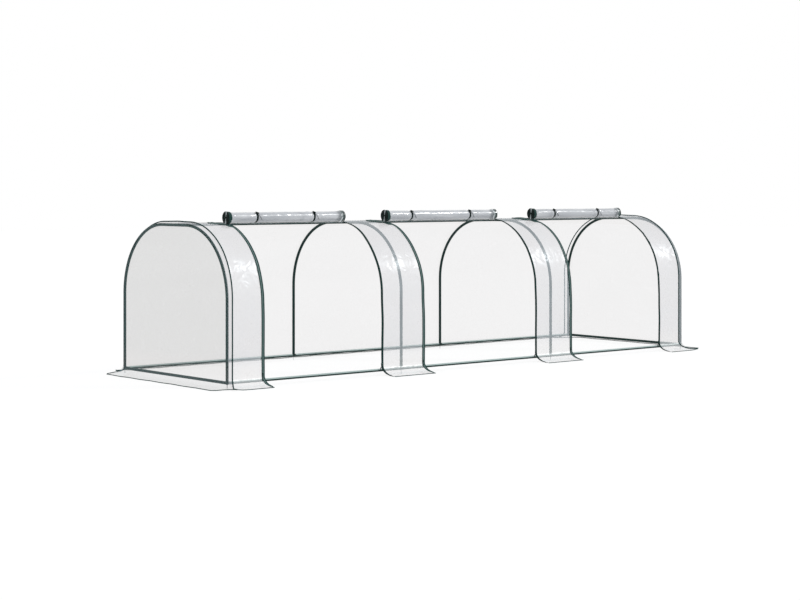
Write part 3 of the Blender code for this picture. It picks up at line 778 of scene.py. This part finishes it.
def build_roof():
    """The back sheet over the ridge, with the flaps that the doors hang from."""
    edges = [-SEAM_X, SEAM_X] + [x for door in DOORS for x in door]
    edges = sorted(edges + [left + WIDE_TAPE + more for left, _ in DOORS for more in (0, TAPE_FADE)])
    x = np.unique(np.concatenate([stations(a, b, 0.014) for a, b in zip(edges, edges[1:])]).round(6))
    s = np.unique(np.concatenate([stations(-ROLL_SEAT, 0, 0.012), stations(0, HEM_S, 0.012)]).round(6))
    grid_s, grid_x = grid(s, x)
    points = cover_points(grid_x, grid_s)
    flat = stack(grid_x, grid_s).reshape(-1, 2)
    faces = []
    for face in grid_faces(len(s), len(x)):
        centre_x, centre_s = flat[list(face)].mean(axis=0)
        if centre_s > 0 or any(left < centre_x < right for left, right in DOORS):
            faces.append(face)
    used = sorted({corner for face in faces for corner in face})
    renumber = {old: new for new, old in enumerate(used)}
    faces = [[renumber[corner] for corner in face] for face in faces]
    piece = new_piece("roof_and_back_film", points.reshape(-1, 3)[used], faces, "back film", flat[used])
    fit_out(piece, node="roof_and_back_sheet")
    edge_binding("back_hem", cover_points(stations(-SEAM_X, SEAM_X, 0.02), HEM_S, HEM_LIFT))


def build_strip(number, left, right):
    """The film that stays up in front of a hoop."""
    grid_s, grid_x = grid(stations(0, -HEM_S, 0.007), stations(left, right, 0.007))
    points = cover_points(grid_x, grid_s)
    piece = sheet(f"front_film_{number}", points, stack(grid_x, grid_s), "strip film")
    fit_out(piece, node=f"front_strip_{number}")
    edge_binding(f"front_hem_{number}", cover_points(stations(left, right, 0.01), -HEM_S, HEM_LIFT))


def edge_binding(name, path, size=BINDING):
    """A narrow woven tape folded over the film's edge, as a flattened round bead along a line."""
    width, height = size
    sides = 8
    tangents = np.gradient(path, axis=0)
    tangents /= np.linalg.norm(tangents, axis=1)[:, None]
    points, flat = [], []
    length = 0.0
    for i, (point, tangent) in enumerate(zip(path, tangents)):
        across = np.cross(tangent, (0.0, 0.0, 1.0))
        if np.linalg.norm(across) < 0.3:
            across = np.array((1.0, 0.0, 0.0)) - tangent * tangent[0]
        across /= np.linalg.norm(across)
        lift = np.cross(across, tangent)
        length += np.linalg.norm(point - path[i - 1]) if i else 0.0
        for k in range(sides):
            a = math.tau * k / sides
            points.append(point + across * math.cos(a) * width / 2 + lift * math.sin(a) * height / 2)
            flat.append((k * width / sides, length))
    faces = grid_faces(len(path), sides, loop_columns=True, capped=True)
    fit_out(new_piece(name, points, faces, "binding", flat))


def end_shift(y, z, side):
    """How far an end panel bows and creases off its plane: gathered at the top, slack in the middle."""
    seed = 5 if side < 0 else 6
    edge = smooth_step(np.minimum(HALF_WIDTH - np.abs(y), RIDGE_Z - z), 0.0, 0.10)
    foot = smooth_step(z, RAIL_Z, 0.10)
    shift = waves(y, z, seed, 12, 0.5, 0.0040)
    shift = shift + creases(y, z, seed + 20, 16, (-0.35, 0.35, 0.68, 0.82), 0.10, 0.007, 0.0030, 0.3, 0.35)
    shift = shift + creases(y, z, seed + 30, 14, (-0.45, 0.45, 0.10, 0.60), 0.22, 0.010, 0.0020, 0.25, 0.3)
    return (shift * edge - 0.0015 * edge) * foot


def build_end(where, side):
    """A flat end whose rim wraps the hoop and meets the roof at the seam, with a skirt round both corners."""
    hoop_x = HOOPS[0] if side < 0 else HOOPS[-1]
    face_x = hoop_x + side * FILM_OFFSET
    rows = stations(SKIRT_DROP, RIDGE_Z, 0.010)
    columns = np.linspace(-1, 1, 97)
    rise = np.clip(rows - BEND_Z, 0, BEND_RADIUS)
    half = FLAT_HALF + np.sqrt(BEND_RADIUS**2 - rise**2)
    grid_y = half[:, None] * columns[None, :]
    grid_z = np.repeat(rows[:, None], len(columns), axis=1)
    shift = end_shift(grid_y, grid_z, side)
    points = [tuple(point) for point in stack(face_x + side * shift, grid_y, grid_z).reshape(-1, 3)]
    flat = [point[1:] for point in points]
    faces = grid_faces(len(rows), len(columns))
    wide, last = len(columns), (len(rows) - 1) * len(columns)
    rim = [*range(0, last, wide), *range(last, last + wide), *range(last - 1, 0, -wide)]
    loops = [rim]
    rounds = 6
    turns = np.linspace(0, math.pi / 2, rounds)[1:]
    offsets = [(FILM_OFFSET * math.sin(a), FILM_OFFSET * math.cos(a)) for a in turns]
    offsets.append((FILM_OFFSET, -(abs(hoop_x) - SEAM_X)))
    for number, (lift_here, beyond_here) in enumerate(offsets, start=1):
        loop = []
        for corner in rim:
            _, y, z = points[corner]
            bend = min(max(z - BEND_Z, 0.0), BEND_RADIUS)
            out = math.sqrt(max(BEND_RADIUS**2 - bend**2, 0.0)) / BEND_RADIUS
            on_top = abs(y) < FLAT_HALF + 1e-6
            ny, nz = (0.0, 1.0) if on_top else (math.copysign(out, y), bend / BEND_RADIUS)
            s = y if on_top else math.copysign(FLAT_HALF + FILM_BEND * math.acos(nz), y)
            at_seam = number == len(offsets)
            lift = lift_here + float(seam_rise(s)) * at_seam
            beyond = beyond_here + float(seam_drift(s, side)) * at_seam
            loop.append(len(points))
            points.append((hoop_x + side * beyond, y + ny * lift, z + nz * lift))
            flat.append((y + ny * (lift + 0.02), z + nz * (lift + 0.02)))
        loops.append(loop)
    for inner, outer in zip(loops, loops[1:]):
        faces += [(inner[i], inner[i + 1], outer[i + 1], outer[i]) for i in range(len(rim) - 1)]
    # The front rim and the skirt's edge beside it are as milky as the strips
    wrap = [len(faces) - len(rim) + 1 + i for i in range(len(rim) - 1) if points[rim[i]][1] < -0.02]
    start = [loop[0] for loop in reversed(loops)]
    foot = start + list(range(1, wide - 1)) + [loop[-1] for loop in loops]
    skirt = len(faces)
    add_end_skirt(points, flat, faces, foot, side, rounds)
    wrap += [skirt + row * (len(foot) - 1) for row in range(6)]
    piece = new_piece(f"end_film_{where}", points, faces, "end film" if side < 0 else "back film", flat)
    shape = bmesh.new()
    shape.from_mesh(piece.data)
    bmesh.ops.recalc_face_normals(shape, faces=shape.faces)
    shape.to_mesh(piece.data)
    area = sum(face.calc_area() for face in shape.faces)
    shape.free()
    piece.data.materials.append(LOOKS["strip film"])
    for i in wrap:
        piece.data.polygons[i].material_index = 1
    fit_out(piece, node=f"end_panel_{where}")
    edge_binding(f"end_hem_{where}", np.array(points[-len(foot):]) + (0, 0, HEM_LIFT), END_BINDING)


def add_end_skirt(points, flat, faces, foot, side, rounds):
    """Rows of film from the foot of an end panel out to its hem, fanned round both corners."""
    seam_y = WALL_Y + SKIRT_REACH - 0.006
    corner = len(foot)
    hems = []
    for k, index in enumerate(foot):
        x, y, _ = points[index]
        turned = rounds + 1
        end_y = WALL_Y + (FRONT_CORNER_FLARE if y < 0 else BACK_CORNER_FLARE)
        if k < turned or k >= corner - turned:
            share = (k if k < turned else corner - 1 - k) / turned
            seam_x = SEAM_X + (SEAM_FLARE if y < 0 else BACK_FLARE + seam_drift(HEM_S, side))
            hem_x = seam_x + (END_HEM_X - seam_x) * share
            hem_y = seam_y + (end_y - seam_y) * (share if y < 0 else share**0.4)
            lift = (CORNER_LIFT if y < 0 else BACK_CORNER_LIFT) * (1 - share)
            lift += 0.002 * math.sin(math.pi * share)
            hems.append((side * hem_x, math.copysign(hem_y, y), lift))
        else:
            sway = 0.0015 * math.sin(y * 9 + side)
            spread = 1 + (end_y - WALL_Y) / WALL_Y
            hems.append((side * (END_HEM_X - 0.0015 + sway), y * spread, 0.0006 * (1 + math.sin(y * 31))))
    previous = foot
    curl_steps, lie_steps = 10, 5
    profile = []
    for i in range(1, curl_steps + 1):
        a = math.pi / 2 * i / curl_steps
        profile.append((SKIRT_SWEEP * (1 - math.cos(a)) / SKIRT_REACH, SKIRT_DROP * (1 - math.sin(a))))
    first = SKIRT_SWEEP / SKIRT_REACH
    profile += [(first + (1 - first) * i / lie_steps, 0.0) for i in range(1, lie_steps + 1)]
    for share, height in profile:
        row = []
        for index, (hem_x, hem_y, lift) in zip(foot, hems):
            x, y, _ = points[index]
            row.append(len(points))
            points.append((x + (hem_x - x) * share, y + (hem_y - y) * share, height + LIE + lift * share**2))
            flat.append((y + (hem_y - y) * share, -share * SKIRT_REACH))
        faces += [(previous[i], previous[i + 1], row[i + 1], row[i]) for i in range(len(foot) - 1)]
        previous = row


def build_seam(where, side):
    """The piped seam round an end panel, from one corner of the skirt to the other."""
    front = stations(-HEM_S, -WALL_END, 0.008)
    wall = stations(-WALL_END, WALL_END, 0.012)[1:]
    s = np.concatenate([front, wall, stations(WALL_END, HEM_S, 0.008)[1:]])
    edge_binding(f"seam_piping_{where}", cover_points(side * SEAM_X, s, 0.0012), PIPING)


def taper(s):
    """How much of a zip's width and height is left at s, where it runs out at the hem."""
    return 1 - TAPER_CUT * smooth_step(-s, HEM_S - TAPER_LENGTH, HEM_S)


def build_tape(door, where):
    """The zip tape on one edge of a doorway, with its raised coil."""
    node = f"zip_tape_{door}_{where}"
    low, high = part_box(node)
    wide = where == "left"
    s = stations(-0.0005, -HEM_S + 0.002, 0.004)
    width = high.x - low.x
    grid_s, share = grid(s, np.linspace(0, 1, 8))
    kept = taper(grid_s)
    grid_x = low.x + width * share * kept
    flat = stack(grid_x - low.x, -grid_s)
    curl = 0.0010 * np.abs(2 * share - 1) ** 3 * kept
    points = film_points(grid_x, grid_s, TAPE_LIFT * kept + curl)
    tape = sheet(f"{node}_woven", points, flat, "wide tape" if wide else "narrow tape")
    fit_out(thicken(tape, TAPE_THICKNESS), node=node)
    build_coil(f"{node}_coil", low.x, width * (0.5 if wide else 0.3), s[0], -HEM_S + 0.012, wide)


def build_coil(name, edge, inward, start, end, wide):
    """The zip's coil: a low ridge of slanted turns."""
    s = stations(start, end, 0.0010)
    half = 0.0032 if wide else 0.0024
    grid_s, grid_u = grid(s, np.linspace(-1, 1, 7))
    turns = 0.5 + 0.5 * np.sin((grid_s + grid_u * half * 0.8) * math.tau / COIL_PITCH)
    kept = taper(grid_s)
    height = (1 - grid_u**2) * (0.0012 + 0.0007 * turns) * kept
    grid_x = edge + (inward + grid_u * half * (1 + 0.08 * turns)) * kept
    points = film_points(grid_x, grid_s, COIL_LIFT * kept + height)
    flat = stack(grid_u * half, -grid_s)
    fit_out(sheet(name, points, flat, "coil" if wide else "narrow tape"))


def roll_place():
    """The roll's centre (y, z) and the angle from it to the line that it rests on."""
    _, _, ny, nz = (float(v) for v in section(-ROLL_SEAT))
    return ROLL_Y, ROLL_Z, math.atan2(-nz, -ny)


def seat_depth(x):
    """How far below a roll's middle the film is that it rests on."""
    return ROLL_Z - float(section(-ROLL_SEAT)[1]) + flap_sag(x, -ROLL_SEAT) - ROLL_CLEARANCE


def roll_outside(x, ties, ends):
    """The roll's outer radius along its length: drawn in at the ties, thicker at its ends."""
    x = np.asarray(x, float)
    from_end = np.minimum(x - ends[0], ends[1] - x)
    thick = 1 - smooth_step(from_end, ROLL_TAPE - 0.004, ROLL_TAPE + 0.018)
    radius = ROLL_RADIUS + (ROLL_END_RADIUS - ROLL_RADIUS) * thick
    for tie in ties:
        for depth, reach in TIE_PINCHES:
            radius = radius - depth * np.exp(-(((x - tie) / reach) ** 2))
    return radius - 0.0003 + 0.0004 * np.sin(x * 31)


def spiral(x, ties, ends, seed, lift=0.0):
    """Points of the rolled film at each x, from its outer edge in to the core."""
    y, z, seat = roll_place()
    turned = np.linspace(0, math.tau * ROLL_TURNS, round(ROLL_TURNS * TURN_STEPS))
    grid_t, grid_x = grid(turned, x)
    outside = roll_outside(grid_x, ties, ends)
    radius = outside - (outside - ROLL_CORE) * grid_t / (math.tau * ROLL_TURNS)
    loose = np.exp(-grid_t / math.tau / LOOSE_TURNS)
    near_tie = sum(np.exp(-((grid_x - tie) / 0.05) ** 2) for tie in ties)
    flutes = waves(grid_x * 0.25, grid_t * 0.022, seed, 14, 0.016, 0.00055)
    where = (x[0], x[-1], 0.0, 0.22)
    pinches = creases(grid_x, grid_t * 0.036, seed + 1, 60, where, 0.030, 0.0022, 0.0011, 0.0, 0.5)
    radius = radius + (flutes * (1 + near_tie) + pinches) * loose - 0.0003 + lift
    angle = seat - grid_t
    pressed = seat_depth(grid_x) / np.clip(np.cos(angle - seat), 0.3, 1) - 0.25 * (outside - radius)
    radius = np.where(np.cos(angle - seat) > 0.3, np.minimum(radius, pressed), radius)
    points = stack(grid_x, y + radius * np.cos(angle), z + radius * np.sin(angle))
    flat = stack(grid_x, grid_t * ROLL_RADIUS * 0.6)
    return points, flat


def build_roll(door):
    """A door rolled up along the ridge, with the zip tapes of its two edges wound in at its ends."""
    low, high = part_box(f"door_roll_{door}")
    ends = (low.x, high.x)
    ties = [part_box(f"roll_tie_{door}_{where}")[0].x + TIE_HALF_WIDTH for where in ("left", "right")]
    body = f"door_{door}"
    spans = [stations(low.x + ROLL_TAPE - 0.003, high.x - 0.004, 0.008)]
    spans += [stations(tie - 0.03, tie + 0.03, 0.0025) for tie in ties]
    points, flat = spiral(np.unique(np.concatenate(spans).round(5)), ties, ends, 100 * door)
    roll = sheet(f"rolled_door_{door}", points, flat, f"door_roll_{door}")
    pieces = [build_drop(door, low.x, high.x)]
    for where, side, end_x, lift in (("left", -1, low.x, 0.0004), ("right", 1, high.x, -0.0014)):
        reach = stations(*sorted((end_x, end_x - side * ROLL_TAPE)), 0.003)
        points, flat = spiral(reach, ties, ends, 100 * door + 7, lift)
        band = sheet(f"rolled_tape_{door}_{where}", points, flat, "rolled tape")
        face = roll_face(f"rolled_tape_edges_{door}_{where}", end_x, side, ROLL_END_RADIUS + lift)
        pieces += [fit_out(piece, body) for piece in (band, face)]
    fit_out(roll, body, f"door_roll_{door}")
    for where, tie_x in zip(("left", "right"), ties):
        build_tie(door, where, tie_x, float(roll_outside(tie_x, ties, ends)))


def roll_face(name, end_x, side, outer):
    """The wound edges of a door's zip tape: a spiral of fine ridges round a small hole."""
    y, z, seat = roll_place()
    pitch, depth, inset = 0.0021, 0.0008, 0.0012
    around = np.linspace(0, math.tau, 84, endpoint=False)
    hole = 0.0035
    radii = np.concatenate([[hole * 0.9, hole], np.arange(hole + pitch / 4, outer - 0.0008, pitch / 4)])
    grid_a, grid_r = np.meshgrid(around, radii)
    turned = (seat - grid_a) / math.tau
    ridge = 0.5 + 0.5 * np.cos(math.tau * (grid_r / pitch + turned))
    grid_r = np.minimum(grid_r, seat_depth(end_x) / np.clip(np.cos(grid_a - seat), 0.3, 1))
    rise = depth * ridge - inset
    rise[0] = -0.010
    rise[1] = -inset
    circles = (y + grid_r * np.cos(grid_a), z + grid_r * np.sin(grid_a))
    points = stack(end_x + side * rise, *circles)
    flat = stack(grid_r, grid_a * ROLL_END_RADIUS)
    faces = grid_faces(len(radii), len(around), loop_columns=True)
    faces.append(tuple(range(len(around))))
    if side > 0:
        faces = [face[::-1] for face in faces]
    return new_piece(name, points.reshape(-1, 3), faces, "tape edges", flat.reshape(-1, 2))


def build_drop(door, left, right):
    """The film from the flap to the roll. It lies beneath the roll."""
    s = np.linspace(-ROLL_SEAT + 0.006, -ROLL_SEAT - 0.008, 60)
    grid_s, grid_x = grid(s, stations(left, right, 0.02))
    y, z, ny, nz = section(grid_s)
    points = stack(grid_x, y + ny * 0.0002, z + nz * 0.0002 - flap_sag(grid_x, grid_s))
    drop = sheet(f"door_film_{door}", points, stack(grid_x, grid_s * 70), "strip film")
    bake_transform(drop)
    return drop


def ribbon(name, path, width, look, thickness):
    """A flat tape along a path of (point, across) pairs."""
    rows, flat, length = [], [], 0.0
    for i, (point, across) in enumerate(path):
        point, across = Vector(point), Vector(across).normalized()
        length += (point - Vector(path[i - 1][0])).length if i else 0.0
        rows.append([point - across * width / 2, point, point + across * width / 2])
        flat.append([(0.0, length), (width / 2, length), (width, length)])
    return thicken(sheet(name, np.array(rows), np.array(flat), look), thickness)


def build_tie(door, where, tie_x, waist):
    """The tape round the roll, with its knot on the upper front and one loose end."""
    node = f"roll_tie_{door}_{where}"
    y, z, _ = roll_place()
    waist += 0.0014
    loop = []
    turns = 48
    for i in range(turns + 3):
        a = math.tau * i / turns
        radius = waist + 0.0002 * math.sin(5 * a + door)
        point = (tie_x + TIE_LEAN * math.cos(a - 1.6), y + radius * math.cos(a), z + radius * math.sin(a))
        loop.append((point, ALONG))
    band = ribbon(f"{node}_band", loop, 0.0110, "tie", 0.0009)
    knot_angle = math.radians(128)
    out = Vector((0, math.cos(knot_angle), math.sin(knot_angle)))
    round_way = Vector((0, math.sin(knot_angle), -math.cos(knot_angle)))
    knot_out = max(waist, ROLL_RADIUS - 0.002) + 0.0030
    centre = Vector((tie_x + TIE_LEAN * math.cos(knot_angle - 1.6), y, z)) + out * knot_out
    tangle = []
    for i in range(73):
        a = math.tau * i / 72
        swing = ALONG * math.sin(2 * a) * 0.0085
        swing += round_way * (math.sin(3 * a) * 0.0042 - math.sin(2 * a) * 0.0020)
        point = centre + swing + out * math.cos(2 * a + 0.6) * 0.0020
        tangle.append((point, out.cross(swing + ALONG * 0.001)))
    knot = ribbon(f"{node}_knot", tangle, 0.0044, "tie", 0.0014)
    tail_path = []
    for i in range(17):
        share = i / 16
        a = knot_angle + math.radians(80) * share
        radius = waist + 0.0035 + 0.0045 * smooth_step(share, 0.1, 0.7)
        point = (tie_x + 0.003 + 0.022 * share**1.7, y + radius * math.cos(a), z + radius * math.sin(a))
        tail_path.append((point, (0.6, 0.4 * math.sin(a), 0.4 * math.cos(a))))
    tail = ribbon(f"{node}_tail", tail_path, 0.0042, "tie", 0.0008)
    fit_out(band, f"door_{door}", node)
    for piece in (knot, tail):
        fit_out(piece, f"door_{door}")


def block(size, centre, bevel, hang=Matrix()):
    """A box with rounded edges, moved to where it hangs."""
    shape = bmesh.new()
    bmesh.ops.create_cube(shape, size=1.0, matrix=Matrix.Translation(centre) @ Matrix.Diagonal((*size, 1)))
    bmesh.ops.bevel(shape, geom=shape.edges[:], offset=bevel, segments=3, affect="EDGES")
    bmesh.ops.transform(shape, matrix=hang, verts=shape.verts)
    mesh = bpy.data.meshes.new("block")
    shape.to_mesh(mesh)
    shape.free()
    return mesh


def build_slider(door, where):
    """A zip slider: two plates on a neck, a bridge over them and a pull with an eye."""
    node = f"zip_slider_{door}_{where}"
    low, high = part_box(node)
    long_pull = where == "right"
    x = high.x - 0.005
    front, back = low.y, high.y
    body, depth, plate = 0.014, 0.0044, 0.0012
    centre_z = high.z - body / 2
    face_y = back - depth
    parts = [
        block((0.0100, plate, body), (x, back - plate / 2, centre_z), 0.0005),
        block((0.0090, plate, body * 0.9), (x, face_y + 0.0010, centre_z), 0.0005),
        block((0.0032, depth - 0.0008, body * 0.55), (x, back - depth / 2, centre_z + 0.002), 0.0003),
        block((0.0026, 0.0014, body * 0.7), (x, face_y, centre_z), 0.0006),
    ]
    length = 0.040 if long_pull else 0.024
    top, bar = 0.0035, 0.0012
    grip = length * 0.55
    neck = length - grip
    hang = Matrix.Translation((x, front + 0.0006, centre_z))
    hang = hang @ Matrix.Rotation(PULL_SWING if long_pull else 0.0, 4, "Y")
    for aside in (-0.0020, 0.0020):
        parts.append(block((bar, 0.0011, neck), (aside, 0, top - neck / 2), 0.0004, hang))
    parts += [
        block((0.0052, 0.0011, bar), (0, 0, top - bar / 2), 0.0004, hang),
        block((0.0060, 0.0012, grip), (0, 0, top - length + grip / 2), 0.0005, hang),
    ]
    mesh = joined(node, parts)
    mesh.shade_smooth()
    mesh.set_sharp_from_angle(angle=math.radians(40))
    mesh.materials.append(LOOKS["green slider"])
    mesh.materials.append(LOOKS["slider" if long_pull else "green slider"])
    for face in mesh.polygons[len(mesh.polygons) // 2:]:
        face.material_index = 1
    fit_out(add_object(f"{node}_cast", mesh), f"slider_{door}_{where}", node)


def seen_rays(look):
    """1 where the camera sees a surface, straight on, in a mirror or through something clear."""
    seen = look.add("LightPath", output="Is Camera Ray")
    for other in ("Is Glossy Ray", "Is Transmission Ray"):
        seen = look.add("Math", {"operation": "MAXIMUM"}, {0: seen, 1: look.add("LightPath", output=other)})
    return seen


def build_floor():
    """A plain white floor that keeps a faint shadow."""
    look = Look("studio_floor")
    lit = look.add("BsdfDiffuse", sockets={"Color": (0.80, 0.80, 0.80)})
    shaded = look.add("BsdfDiffuse", sockets={"Color": (0.21, 0.21, 0.21)})
    glow = look.add("Emission", sockets={"Color": (1, 1, 1), "Strength": 0.82})
    bright = look.add("AddShader", sockets={0: shaded, 1: glow})
    mesh = bpy.data.meshes.new("floor")
    half = 30.0
    corners = [(-half, -half, 0), (half, -half, 0), (half, half, 0), (-half, half, 0)]
    mesh.from_pydata(corners, [], [(0, 1, 2, 3)])
    mesh.materials.append(look.finish(look.add("MixShader", sockets={0: seen_rays(look), 1: lit, 2: bright})))
    floor = add_object("floor", mesh)
    floor.location.z = FLOOR_Z


def build_light():
    """White light all round, and a small bright lamp that makes the film and the tubes shine."""
    look = Look("studio", world=True)
    dim = look.add("Background", sockets={"Color": (0.95, 0.97, 1.0), "Strength": 0.86})
    white = look.add("Background", sockets={"Color": (1, 1, 1), "Strength": 1.0})
    mix = look.add("MixShader", sockets={0: seen_rays(look), 1: dim, 2: white})
    bpy.context.scene.world = look.finish(mix, "World")
    lamp = bpy.data.lights.new("key", "SUN")
    lamp.energy = 0.75
    lamp.angle = math.radians(3.5)
    light = add_object("key", lamp)
    light.rotation_mode = "QUATERNION"
    light.rotation_quaternion = Vector((0.643, -0.530, 0.550)).to_track_quat("Z", "Y")


def build_camera():
    """The photograph's camera: level, a little above the greenhouse, with the picture shifted down."""
    lens = bpy.data.cameras.new("photo_camera")
    lens.sensor_width = 36.0
    lens.lens = 79.784
    lens.shift_y = -0.1401
    lens.clip_end = 100
    camera = add_object("photo_camera", lens)
    camera.location = (-6.8891, -7.9987, 1.0247)
    camera.rotation_euler = (math.pi / 2, 0, math.radians(-40.027))
    bpy.context.scene.camera = camera


build_camera()
build_light()
build_floor()
build_frame()
build_roof()
for number, (left, right) in enumerate(STRIPS, start=1):
    build_strip(number, left, right)
for where, side in (("left", -1), ("right", 1)):
    build_end(where, side)
    build_seam(where, side)
for number, (left, right) in enumerate(DOORS, start=1):
    build_tape(number, "left")
    build_tape(number, "right")
    build_roll(number)
    for where in ("left", "right"):
        build_slider(number, where)

scene = bpy.context.scene
scene.view_settings.view_transform = "Standard"
scene.cycles.transparent_max_bounces = 48
